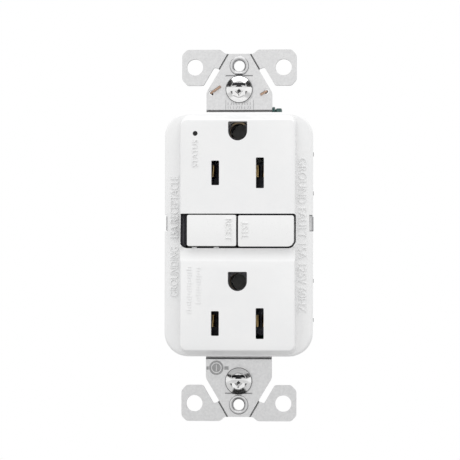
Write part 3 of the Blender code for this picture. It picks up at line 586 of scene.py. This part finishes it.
def reset_key():
    """RESET key with a socket for its pin."""
    collar = rod(1.75, RESET_LOW.y + 1.1, -6.75, RESET_STEM, segments=32)
    socket = rod(1.15, RESET_LOW.y + 1.25, -6, RESET_STEM, segments=32)
    cap = cut(join(key_cap(RESET_LOW, RESET_HIGH, (0.5,) * 4), collar), socket)
    piece("reset_key_cap", soften(cap, 0.22, 3), "reset_key", LOOKS["button_plastic"],
          ["reset_button"])
    text = raised_text("RESET", 1.75, 6.15, (-2.45, 1.44), RESET_LOW.y + 0.06, READ_DOWN, KEY_RELIEF)
    piece("reset_lettering", text, "reset_key", LOOKS["button_plastic"])


def test_key():
    """TEST key, whose stem reaches the test blade."""
    cap = key_cap(TEST_LOW, TEST_HIGH, (0.5, 0.5, 0.5, 1.7))
    stem = turned([(1.3, TEST_LOW.y + 1.1), (1.3, 11.8), (0.7, 12.5)], TEST_STEM, segments=32)
    piece("test_key_cap", soften(join(cap, stem), 0.22, 3), "test_key", LOOKS["button_plastic"],
          ["test_button"])
    text = raised_text("TEST", 1.95, 4.75, (2.15, 1.44), TEST_LOW.y + 0.06, READ_UP, KEY_RELIEF)
    piece("test_lettering", text, "test_key", LOOKS["button_plastic"])


def cover_lettering():
    """Raised generic words and rating on the flange, and a word beside the light."""
    lines = [
        ("flange_lettering_left", "GROUNDING   15A RECEPTACLE", 2.3, 34.2, (-18.3, -0.4), FLANGE_Y, READ_UP),
        ("flange_lettering_right", "GROUND FAULT 15A 125V 60HZ", 2.3, 43.8, (18.25, 0.0), FLANGE_Y,
         READ_DOWN),
        ("status_lettering", "STATUS", 1.5, 7.6, (-12.1, 23.1), PAD_Y, READ_UP),
    ]
    for name, words, height, length, centre, level, turn in lines:
        text = raised_text(words, height, length, centre, level, turn, COVER_RELIEF)
        piece(name, text, "device_body", LOOKS["white_plastic"])


def small_print():
    """Two columns of plain raised strokes, where the small print stands on the lower pad."""
    levels = (PAD_Y - 0.14, PAD_Y + 0.3)
    pitch, half_height = 0.76, 0.13
    lengths, shifts = (1.0, 0.62, 0.8, 0.55, 0.9), (0.1, -0.12, 0.0)
    strokes = []
    for x, top, count, width in ((-13.6, -9.2, 18, 1.5), (-11.0, -9.5, 14, 1.4)):
        for i in range(count):
            reach = width * lengths[(2 * i + count) % len(lengths)] / 2
            middle, z = x + shifts[i % len(shifts)], top - pitch * i
            strokes.append(block((middle - reach, middle + reach), levels,
                                 (z - half_height, z + half_height)))
    return piece("small_print_strokes", join(strokes[0], *strokes[1:]), "device_body",
                 LOOKS["white_plastic"])


# ---------------------------------------------------------------- strap

def strap_outline():
    """Whole outline of the strap, ears and arms, with eased corners."""
    ear = [(4.0, 51.9), (5.4, 53.1), (14.95, 53.1), (16.4, 51.6), (16.4, 44.4), (14.95, 42.8),
           (10.26, 42.8), (7.2, 48.05), (5.5, 47.4), (9.1, 41.4), (9.4, 40.6)]
    spine = [(9.4, 24.0), (3.0, 24.0), (3.0, 5.4), (20.3, 5.4), (20.3, 1.3), (3.0, 1.3),
             (3.0, -8.0), (5.0, -8.6), (5.0, -18.0), (3.0, -18.6), (3.0, -31.0), (9.4, -31.0)]
    right = ear + spine + [(x, -z) for x, z in reversed(ear)]
    return eased(right + [(-x, z) for x, z in reversed(right)], 0.55)


def groove(start, end, width, depth):
    """Cutter for a stamped line on the strap's front face."""
    a, b = Vector(start), Vector(end)
    along = (b - a).normalized()
    side = Vector((-along.y, along.x)) * width / 2

    def outline(scale):
        return [tuple(point) for point in
                (a + side * scale, b + side * scale, b - side * scale, a - side * scale)]

    rings = [(1.0 + 1.0 / depth, -STRAP_T - 1), (1.0, -STRAP_T), (0.12, -STRAP_T + depth)]
    return loft([(outline(scale), level) for scale, level in rings])


def strap_cutters(end):
    """Holes, slot, break lines, crease and foot groove at the top (1) or bottom (-1) of the strap."""
    through = (-2.5, 1.0)
    tools = [rod(EAR_HOLE_R, *through, (side * EAR_X, end * EAR_HOLE_Z)) for side in (-1, 1)]
    tools.append(rod(1.55, *through, (0, end * PLATE_SCREW_Z)))
    tools.append(prism(obround((0, end * BOX_SCREW_Z), 1.5, 2.05), *through))
    for side in (-1, 1):
        tools.append(groove((side * 2.9, end * 52.4), (side * 5.85, end * 47.3), 0.42, 0.5))
    crease, level = (45.62, 35.2) if end > 0 else (-45.15, -34.8)
    tools.append(groove((-3.9, crease), (3.9, crease), 0.34, 0.2))
    tools.append(groove((-9.6, level), (9.6, level), 1.3, 0.45))
    return tools


def stamped_marks():
    """Boxed tally of plain strokes below the upper screw; a plain disc and bars by the lower one."""
    tools = [groove((x, 35.9), (x, 38.6), 0.16, STAMP_DEPTH) for x in (-3.85, 4.05)]
    for row, z in enumerate((37.2, 36.1)):
        for i in range(9):
            x = -3.2 + 0.8 * i
            lean = (0.0, 0.3, 0.0, -0.2)[(i + 2 * row) % 4]
            tools.append(groove((x, z), (x + lean, z + 0.75), 0.18, STAMP_DEPTH))
    x, z = EMBLEM
    front = -STRAP_T - 1
    levels = (front, -STRAP_T + STAMP_DEPTH)
    ring = cut(rod(1.5, front - 1, 1, EMBLEM), rod(1.25, front - 2, 2, EMBLEM))
    bar = block((x - 0.1, x + 0.1), (front - 1, 0), (z - 0.9, z + 0.9))
    tools.append(cut(rod(2.05, *levels, EMBLEM), ring, bar))
    for ends in ((-9.25, -8.6), (-4.15, -2.9)):
        tools.append(block(ends, levels, (z - 0.55, z + 0.4)))
    return tools


def mounting_strap():
    """Strap with its arms' bent legs, raised collars and the tab for the ground screw."""
    plate = prism(strap_outline(), -STRAP_T, 0)
    tab = block((7.65, 8.85), (-0.9, 9.6), (29.0, 35.2))
    leg = [(19.75, 8.0), (20.95, 8.0), (20.95, -0.6), (20.8, -1.0), (20.4, -STRAP_T), (19.75, -STRAP_T)]
    legs = [prism([(side * x, y) for x, y in leg], 1.3, 5.4, "Z") for side in (-1, 1)]
    collar = [(2.75, -1.0), (2.74, -1.4), (2.6, -1.6), (2.35, -1.7), (2.15, -1.68), (1.85, -1.5),
              (1.62, -1.2)]
    collars = [turned(collar, (0, end * PLATE_SCREW_Z)) for end in (-1, 1)]
    plate = join(plate, *collars, tab, *legs)
    grounds = [rod(3.3, -2, 1, (0, z + GROUND_UP)) for z in OUTLET_Z]
    wires = [rod(0.72, -2, 1, centre, segments=24) for centre in WIRE_HOLES]
    low, high = extent("ground_screw")
    screw = rod(2.1, 7, 11, tuple(((low + high) / 2).yz), "X", 32)
    plate = cut(plate, *strap_cutters(1), *strap_cutters(-1), *grounds, *wires, screw,
                *stamped_marks())
    made = piece("strap", soften(plate, 0.1), "device_body", LOOKS["zinc_steel"],
                 ["mounting_strap"])

    def stamped(place, normal):
        depth = place.y + STRAP_T
        return (abs(normal.y) > 0.9 and STAMP_DEPTH / 2 < depth < STAMP_DEPTH + 0.04
                and abs(place.z - EMBLEM[1]) < 2.2 and place.x < -2.5)

    return second_finish(made, LOOKS["stamped_zinc"], stamped)


def tube(route, radius, segments=20, steps=6):
    """Round wire along a smooth path through the route's points."""
    points = []
    count = len(route)
    for i in range(count - 1):
        p0, p1, p2, p3 = (Vector(route[min(max(k, 0), count - 1)]) for k in (i - 1, i, i + 1, i + 2))
        for step in range(steps):
            t = step / steps
            points.append(0.5 * (2 * p1 + (p2 - p0) * t + (2 * p0 - 5 * p1 + 4 * p2 - p3) * t * t
                                 + (3 * p1 - p0 - 3 * p2 + p3) * t ** 3))
    points.append(Vector(route[-1]))
    normal = Vector((0, 0, 1))
    rings = []
    for i, point in enumerate(points):
        along = (points[min(i + 1, len(points) - 1)] - points[max(i - 1, 0)]).normalized()
        normal = (normal - along * normal.dot(along)).normalized()
        other = along.cross(normal)
        rings.append([point + normal * a + other * b for a, b in circle(radius, segments=segments)])
    return skin(rings)


def auto_ground_clip():
    """Bronze wire laced through both small holes, with painted shade on its upper side and in the holes."""
    (left, left_z), (right, right_z) = WIRE_HOLES
    route = [(-5.3, -1.75, 42.6), (-7.0, -1.75, 41.4), (left, -1.5, left_z), (left, 0.5, left_z),
             (-7.0, 0.8, 40.1), (-3.0, 0.8, 38.9), (3.0, 0.8, 38.9), (6.8, 0.8, 40.5),
             (right, 0.5, right_z), (right, -1.5, right_z), (7.2, -1.7, 40.8), (6.1, -1.7, 40.1)]
    made = piece("grounding_wire", tube(route, 0.33), "device_body", LOOKS["bronze_wire"],
                 ["auto_ground_clip"])

    # Painted shade: the wire's upper side and its runs into the holes go dark.
    def painted_wire_shade(place, normal):
        return normal.z - 0.75 * normal.x > 0.62 or place.y > -1.35

    return second_finish(made, LOOKS["bronze_painted_shade"], painted_wire_shade)


def spring(node, axis):
    """Coil spring of five turns along an axis, in place of a CAD node, with its transform baked in."""
    low, high = extent(node)
    along = "XYZ".index(axis)
    across = [i for i in range(3) if i != along]
    a, b = ((low[i] + high[i]) / 2 for i in across)
    reach = (high[across[0]] - low[across[0]]) / 2 - SPRING_WIRE
    start, end = low[along] + SPRING_WIRE, high[along] - SPRING_WIRE
    turns, steps = 5, 12
    route = []
    for i in range(turns * steps + 1):
        angle = math.tau * i / steps
        level = start + (end - start) * i / (turns * steps)
        route.append(at(axis, level, a + reach * math.cos(angle), b + reach * math.sin(angle)))
    made = piece(f"{node}_coil", tube(route, SPRING_WIRE, 12, 2), None, LOOKS["nickel_steel"],
                 [node])
    moving, held = (Vector(at(axis, level, a, b)) * MM for level in (start, end))
    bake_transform(made)


# ---------------------------------------------------------------- screws

def thread_sections(low, high, major, centre, axis, segments):
    """Rings whose radius follows a helical ridge between two levels."""
    pitch = THREAD_PITCH
    depth = 0.55 * pitch
    rings = []
    count = int(abs(high - low) / pitch * 6)
    for i in range(count + 1):
        level = low + (high - low) * i / count
        fade = min(1.0, i / 6, (count - i) / 6)
        ring = []
        for k in range(segments):
            phase = (level / pitch - k / segments) % 1.0
            radius = major - depth * fade * abs(2 * phase - 1)
            angle = math.tau * k / segments
            ring.append(at(axis, level, centre[0] + radius * math.cos(angle),
                           centre[1] + radius * math.sin(angle)))
        rings.append(ring)
    return rings


def screw_body(tip, thread, head, centre, axis, major, segments):
    """Threaded shank and turned head in one skin; tip and head are (radius, level) profiles."""
    def rings(profile):
        return [[at(axis, level, a, b) for a, b in circle(radius, centre, segments)]
                for radius, level in profile]

    return skin(rings(tip) + thread_sections(*thread, major, centre, axis, segments)
                + rings(head))


def combination_drive(level, centre, sign, slot_reach, square):
    """Cutters along X for a slot with a square recess set cornerwise over it."""
    a, b = centre
    slot_depth, square_depth, half_width = 0.8, 1.3, 0.575
    above = level + 0.6 * sign
    slot = prism([(a - slot_reach, b - half_width), (a + slot_reach, b - half_width),
                  (a + slot_reach, b + half_width), (a - slot_reach, b + half_width)],
                 above, level - slot_depth * sign, "X")

    def diamond(half):
        return [(a + half, b), (a, b + half), (a - half, b), (a, b - half)]

    recess = loft([(diamond(square), above), (diamond(square * 0.7), level - square_depth * sign)], "X")
    return [slot, recess]


def box_screw(end):
    """Box screw: coned head with a shallow pan, a slot across it and a square recess on its corner."""
    name = "top" if end > 0 else "bottom"
    low, high = extent(f"mounting_screw_{name}")
    face, middle = low.y, end * BOX_SCREW_Z
    centre = (0, middle)
    tip = [(1.1, high.y), (1.45, high.y - 0.35)]
    cone = [(3.7 - 1.26 * t, -1.92 - 0.78 * t) for t in (0, 0.04, 0.3, 0.7, 0.96, 1)]
    head = [(1.5, -1.5), (3.72, -1.5), (3.85, -1.6), (3.85, -1.88), *cone, (2.38, -2.78),
            (2.33, face + 0.15), (2.2, face)]
    body = screw_body(tip, (high.y - 0.4, -1.0), head, centre, "Y", 1.72, 48)

    def pan(half_x, low_z, high_z, level):
        return panel((-half_x, half_x), (middle + low_z, middle + high_z), [0.5] * 4), level

    def diamond(half, level, drop=0.0):
        z = middle + drop
        return [(half, z), (0, z + half), (-half, z), (0, z - half)], level

    body = cut(body, loft([pan(2.35, -1.85, 1.85, face - 0.5), pan(2.3, -1.8, 1.8, face),
                           pan(1.85, -1.65, 1.05, face + 0.55)]),
               block((-3.7, 3.7), (face - 1, face + 1.15), (middle - 0.6, middle + 0.65)),
               loft([diamond(2.0, face - 0.5), diamond(1.95, face + 0.4), diamond(0.5, face + 1.3, -0.4)]))
    made = piece(f"box_screw_{name}", soften(body, 0.03, angle=45), f"{name}_box_screw",
                 LOOKS["nickel_steel"], [f"mounting_screw_{name}"])

    # Painted shade: the head's outer rim, the pan's upper wall, the lower side walls and the deep floor of
    # the recess take the near-black nickel.
    def shaded(place, normal):
        reach = math.hypot(place.x, place.z - middle)
        if reach > 3.75 and place.y < -1.6:
            return True
        if reach > 2.6 or not face + 0.05 < place.y < face + 1.5:
            return False
        above = normal.z < -0.3 and place.z > middle + 0.9 and abs(normal.x) < 0.45
        beside = abs(normal.x) > 0.4 and abs(normal.z) < 0.3 and place.z < middle
        return above or beside or place.y > face + 1.25

    return second_finish(made, LOOKS["painted_shade_nickel"], shaded)


def side_screw(node, body_name, look):
    """Terminal screw with a domed head, on either side of the body."""
    low, high = extent(node)
    side = 1 if high.x > 0 else -1
    centre = ((low.y + high.y) / 2, (low.z + high.z) / 2)
    outer, inner = (high.x, low.x) if side > 0 else (low.x, high.x)

    def x(distance):
        return outer - side * distance

    tip = [(1.3, inner), (1.6, inner + side * 0.3)]
    head = [(1.8, x(2.0)), (3.8, x(2.0)), (3.9, x(1.9)), (3.9, x(1.1)), (3.75, x(0.8)),
            (3.2, x(0.35)), (2.5, x(0.12)), (1.6, x(0.0))]
    made = screw_body(tip, (inner + side * 0.4, x(2.3)), head, centre, "X", 1.95, 40)
    made = cut(made, *combination_drive(outer, centre, side, 4.3, 1.4))
    return piece(f"{node}_body", soften(made, 0.04, angle=45), body_name, LOOKS[look], [node])


def ground_screw():
    """Green screw with a washer and a hexagonal head."""
    low, high = extent("ground_screw")
    centre = ((low.y + high.y) / 2, (low.z + high.z) / 2)
    seat, end = high.x - 2.75, high.x
    tip = [(1.2, low.x), (1.45, low.x + 0.3)]
    head = [(1.7, seat), (4.4, seat), (4.5, seat + 0.1), (4.5, seat + 0.6), (4.35, seat + 0.75),
            (3.4, seat + 0.9)]
    body = screw_body(tip, (low.x + 0.4, seat - 0.3), head, centre, "X", 1.75, 36)
    hexagon, small = arc(centre, 4.1, 30, 330, 5), arc(centre, 3.75, 30, 330, 5)
    body = join(body, loft([(small, seat + 0.7), (small, seat + 0.95), (hexagon, seat + 1.2),
                            (hexagon, end - 0.25), (small, end)], "X"))
    body = cut(body, *combination_drive(end, centre, 1, 4.5, 1.3))
    return piece("green_screw_body", soften(body, 0.05, angle=45), "ground_terminal_screw",
                 LOOKS["green_screw"], ["ground_screw"])


# ---------------------------------------------------------------- contacts in the slots

def face_contact(node, side):
    """Bus strip, stud and four forks, whose front lips are rolled over."""
    def run(low, high, z_low, z_high, y=(8.7, 9.5)):
        return block((side * low, side * high), y, (z_low, z_high))

    upper_z, lower_z = OUTLET_Z
    parts = [run(4.2, 8.5, upper_z - 4, upper_z + 3.5), run(4.2, 8.5, lower_z - 3.5, lower_z + 4),
             rod(1.2, 9.0, 12.0, (side * 4.0, 7.3), segments=24)]
    for z in OUTLET_Z:
        for hand in (-1, 1):
            x = side * BLADE_X
            line = [(x + hand * 1.6, 9.3), (x + hand * 1.6, 3.0), (x + hand * 0.55, -1.6),
                    (x + hand * 0.95, -3.1)]
            left = [(a - 0.25, b) for a, b in line]
            right = [(a + 0.25, b) for a, b in reversed(line)]
            parts.append(prism(left + right, z - 1.0, z + 2.4, "Z"))
            lip = x + hand * (1.25 if side > 0 and hand < 0 else 0.95)
            parts.append(tube([(lip - 0.12, -3.1, z - 0.98), (lip, -3.1, z + 0.6),
                               (lip + 0.14, -3.1, z + 2.38)], 0.34, 16, 3))
    body = join(run(3.7, 5.6, lower_z, upper_z, y=(8.6, 9.6)), *parts)
    return piece(f"{node}_leaves", soften(body, 0.05), "device_body", LOOKS["contact_brass"],
                 [node])


# ---------------------------------------------------------------- case

def case_cutters():
    """Terminal recesses, screw reliefs, web slots and, at the back, wire holes with funnels."""
    back = CASE_HIGH.y
    wire_hole = [(1.65, 16.5), (1.65, back - 0.9), (2.3, back - 0.2), (2.3, 28)]
    tools = []
    for side in (-1, 1):
        for z in (-TERMINAL_Z, TERMINAL_Z):
            low, high = sorted((side * 12, side * 15))
            tools.append(block((side * 14.2, side * 23), (7.0, 17.5), (z - 6.5, z + 6.5)))
            tools.append(rod(2.3, low, high, (TERMINAL_Y, z), "X", 32))
            tools.append(block((side * 12, side * 15), (8.6, 9.9), (z - 1.9, z + 1.9)))
            tools += [turned(wire_hole, (side * 15.9, z + shift), segments=32) for shift in (-3.7, 3.7)]
    return tools


def back_details():
    """Cutters for a recessed back panel, round moulding marks, two strip gauges and three grooves."""
    back, behind = CASE_HIGH.y, CASE_HIGH.y + 1
    recess = [prism(rounded(12.6, 29.5, 1.6), back - 0.35, behind)]
    marks = [rod(1.9, back - 0.6, behind, (x, z), segments=32) for x in (-8.0, 8.0) for z in (-24.0, 24.0)]
    gauges = [prism(obround((0, z), 4.2, 0.7), back - 1.0, behind) for z in (-14.0, 14.0)]
    grooves = [block((-9.0, 9.0), (back - 0.75, behind), (z - 0.35, z + 0.35)) for z in (-3.0, 0.0, 3.0)]
    return recess + marks + gauges + grooves


def housing():
    """Rear shell with rolled back edges, terminal recesses and a pocket for the ground screw."""
    front, back = CASE_LOW.y, CASE_HIGH.y
    upper_corner, lower_corner = 8.5, 6.3
    screws = case_screw_places()

    def outline(inset):
        return panel((CASE_LOW.x + inset, CASE_HIGH.x - inset), (CASE_LOW.z + inset, CASE_HIGH.z - inset),
                     [upper_corner - inset] * 2 + [lower_corner - inset] * 2, 12)

    rolled = [(outline(inset), level) for inset, level in edge_roll(1.2, back, -1)]
    shell = loft([(outline(0), front)] + rolled)
    shell = cut(shell, prism(outline(1.4), front - 1, back - 1.6))
    blocks = [block((side * 13, side * 19.3), (front + 4.5, back - 0.8), (end * 11.3, end * 26.7))
              for side in (-1, 1) for end in (-1, 1)]
    columns = [rod(2.9, front, back - 1.0, centre, segments=32) for centre in screws]
    shelf = prism(panel((3.5, 19.6), (25.9, 33.6), [7.4, 0.2, 0.2, 0.2]), front, 12.2)
    ridges = [block((side * 18, side * 20.3), (back - 6, back - 1.2), (z - 0.55, z + 0.55))
              for side in (-1, 1) for z in (24.4, 12.9, -12.9, -24.4)]
    shell = join(shell, *blocks, *columns, shelf, *ridges)
    pocket = block((4.7, 23), (front - 1, 11.0), (27.1, 37))
    bores = [rod(1.6, 0, 28, centre, segments=24) for centre in screws]
    sinks = [rod(2.75, back - 2.2, 28, centre, segments=32) for centre in screws]
    legs = [block((side * 19.4, side * 22), (front - 1, 8.4), (0.9, 5.8)) for side in (-1, 1)]
    shell = cut(shell, pocket, *legs, *case_cutters(), *bores, *sinks, *back_details())
    return piece("rear_case", soften(shell, 0.12), "device_body", LOOKS["grey_plastic"],
                 ["back_housing"])


# ---------------------------------------------------------------- carried-over CAD nodes

def paint_frame():
    """Give every CAD node its finish and softened edges."""
    slots = {entry["node"]: entry["material_slot"] for entry in frame["record"]["subparts"]}
    for name, obj in NODES.items():
        look = "contact_brass" if name.startswith("ground_contact") else slots[name]
        obj.data.materials.clear()
        obj.data.materials.append(LOOKS[look])
        soften(obj, 0.07, angle=40)


# ---------------------------------------------------------------- studio

def floor():
    """Round pale floor, well below the strap and out of the camera's view."""
    level = STRAP_LOW.z - 57
    ground = loft([(circle(700, segments=96), level - 2), (circle(700, segments=96), level)], "Z")
    look = Finish("pale_floor", (0.55, 0.55, 0.55), 0.9)
    ground.data.materials.append(look.material)
    ground.name = "floor"


def area_light(name, place, size, power):
    """Rectangular light, placed in metres, that shines on the origin."""
    light = bpy.data.lights.new(name, "AREA")
    light.shape, light.energy = "RECTANGLE", power
    light.size, light.size_y = size
    obj = bpy.data.objects.new(name, light)
    obj.location = place
    obj.rotation_euler = (-Vector(place)).to_track_quat("-Z", "Y").to_euler()
    bpy.context.scene.collection.objects.link(obj)


def dark_card(name, place, across, size):
    """Black card that only reflections see, facing the object, its long side along a direction."""
    width, height = size
    card = prism([(-width / 2, -height / 2), (width / 2, -height / 2), (width / 2, height / 2),
                  (-width / 2, height / 2)], -0.5, 0.5, "Z")
    facing = place.normalized()
    across = (across - facing * across.dot(facing)).normalized()
    turn = Matrix((across, facing.cross(across), facing)).transposed().to_4x4()
    card.matrix_world = Matrix.Translation(place * MM) @ turn
    card.data.materials.append(Finish(name, (0.01, 0.01, 0.01), 0.9).material)
    card.name = name
    card.visible_camera = card.visible_diffuse = card.visible_shadow = False
    card.visible_transmission = card.visible_volume_scatter = False


def studio():
    """White surround, a large soft light from above, and dark cards for the metal to mirror."""
    world = bpy.data.worlds.new("studio")
    world.use_nodes = True
    background = world.node_tree.nodes["Background"]
    background.inputs["Color"].default_value = (1, 1, 1, 1)
    background.inputs["Strength"].default_value = 1.0
    bpy.context.scene.world = world
    area_light("key", (0, -0.9, 1.9), (2.6, 1.0), 15.0)
    azimuth, lean, away = math.radians(54), math.radians(24), 1000
    for side, name in ((-1, "dark_card_left"), (1, "dark_card_right")):
        around = Vector((side * math.sin(azimuth), 0, math.cos(azimuth))) * math.cos(lean)
        along = Vector((side * math.cos(azimuth), 0, -math.sin(azimuth)))
        dark_card(name, (around - Vector((0, math.sin(lean), 0))) * away, along, (620, 440))
    dark_card("dark_card_below", Vector((0, -36, STRAP_LOW.z - 50)), Vector((1, 0, 0)), (84, 48))
    bpy.context.scene.view_settings.view_transform = "Standard"


def camera():
    """Long lens, slightly to the right of the face and a touch below it."""
    distance = 759 * MM
    turn, rise, roll = math.radians(4.06), math.radians(-1.43), math.radians(0.11)
    aim = Vector((-2.66, 0.0, 1.48)) * MM
    back = Vector((math.sin(turn) * math.cos(rise), -math.cos(turn) * math.cos(rise), math.sin(rise)))
    data = bpy.data.cameras.new("camera")
    data.sensor_width, data.lens = 36, 207.5
    obj = bpy.data.objects.new("camera", data)
    obj.location = aim + back * distance
    facing = (-back).to_track_quat("-Z", "Y").to_matrix() @ Matrix.Rotation(roll, 3, "Z")
    obj.rotation_euler = facing.to_euler()
    bpy.context.scene.collection.objects.link(obj)
    bpy.context.scene.camera = obj


# ---------------------------------------------------------------- scene

paint_frame()
face_cover()
front_insulator()
reset_key()
test_key()
cover_lettering()
small_print()
mounting_strap()
auto_ground_clip()
spring("reset_spring", "Y")
spring("plunger_spring", "Z")
box_screw(1)
box_screw(-1)
for line in ("load", "line"):
    side_screw(f"{line}_hot_screw", f"{line}_hot_terminal_screw", "brass")
    side_screw(f"{line}_neutral_screw", f"{line}_neutral_terminal_screw", "nickel_steel")
ground_screw()
face_contact("face_contact_hot", -1)
face_contact("face_contact_neutral", 1)
housing()
floor()
studio()
camera()
